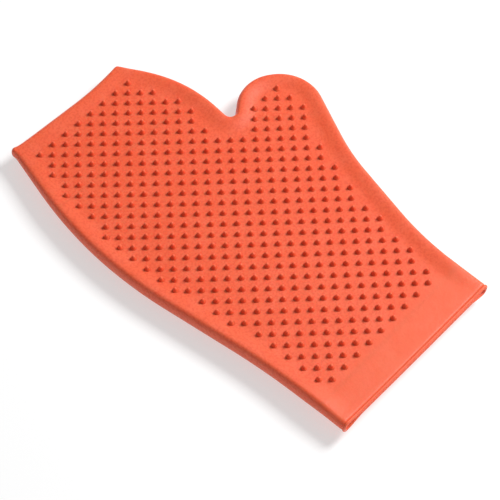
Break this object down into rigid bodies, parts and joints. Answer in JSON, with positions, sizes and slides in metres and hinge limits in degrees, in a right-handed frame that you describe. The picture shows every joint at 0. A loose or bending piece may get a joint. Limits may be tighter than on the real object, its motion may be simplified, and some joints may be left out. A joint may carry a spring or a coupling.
{
  "type": "grooming mitt",
  "caption": "Flat rubber grooming mitt for a hand: separate thumb, pinned palm face, nubbed back, beaded open cuff; fingers and thumb bend.",
  "frame": {"origin": "on the surface the mitt lies on, under the middle of its outline", "axes": "+Y from the cuff to the finger end, +X towards the thumb side, +Z out of the pinned face"},
  "size_m": [0.171, 0.2508, 0.0144],
  "materials": {
    "mitt_rubber": "satin",
    "pin_rubber": "satin"
  },
  "bodies": {
    "palm": {"palm_front_panel": "mitt_rubber", "palm_back_panel": "mitt_rubber", "palm_pins": "pin_rubber", "palm_little_finger_side_wall": "mitt_rubber", "palm_thumb_side_wall": "mitt_rubber", "thumb_notch_web": "mitt_rubber", "cuff_front_half": "mitt_rubber", "cuff_back_half": "mitt_rubber", "cuff_bead_front_half": "mitt_rubber", "cuff_bead_back_half": "mitt_rubber"},
    "finger_base": {"finger_base_front_panel": "mitt_rubber", "finger_base_back_panel": "mitt_rubber", "finger_base_pins": "pin_rubber", "finger_base_little_finger_side_wall": "mitt_rubber", "finger_base_forefinger_side_wall": "mitt_rubber"},
    "finger_tip": {"finger_tip_front_panel": "mitt_rubber", "finger_tip_back_panel": "mitt_rubber", "finger_tip_pins": "pin_rubber", "finger_tip_little_finger_side_wall": "mitt_rubber", "finger_tip_forefinger_side_wall": "mitt_rubber", "finger_tip_end_wall": "mitt_rubber"},
    "thumb": {"thumb_front_panel": "mitt_rubber", "thumb_back_panel": "mitt_rubber", "thumb_pins": "pin_rubber", "thumb_edge_wall": "mitt_rubber"}
  },
  "joints": [
    {"name": "finger_base_bend", "type": "hinge", "parent": "palm", "child": "finger_base", "pos_m": [-0.0233, 0.0616, 0.0096], "axis": [1, 0, 0], "range_deg": [-15, 45], "stiffness_Nm_per_rad": 0.15},
    {"name": "finger_tip_bend", "type": "hinge", "parent": "finger_base", "child": "finger_tip", "pos_m": [-0.0233, 0.0916, 0.0096], "axis": [1, 0, 0], "range_deg": [-15, 45], "stiffness_Nm_per_rad": 0.08},
    {"name": "thumb_bend", "type": "hinge", "parent": "palm", "child": "thumb", "pos_m": [0.0594, 0.0354, 0.0096], "axis": [0.7071, -0.7071, 0], "range_deg": [-15, 45], "stiffness_Nm_per_rad": 0.05}
  ]
}
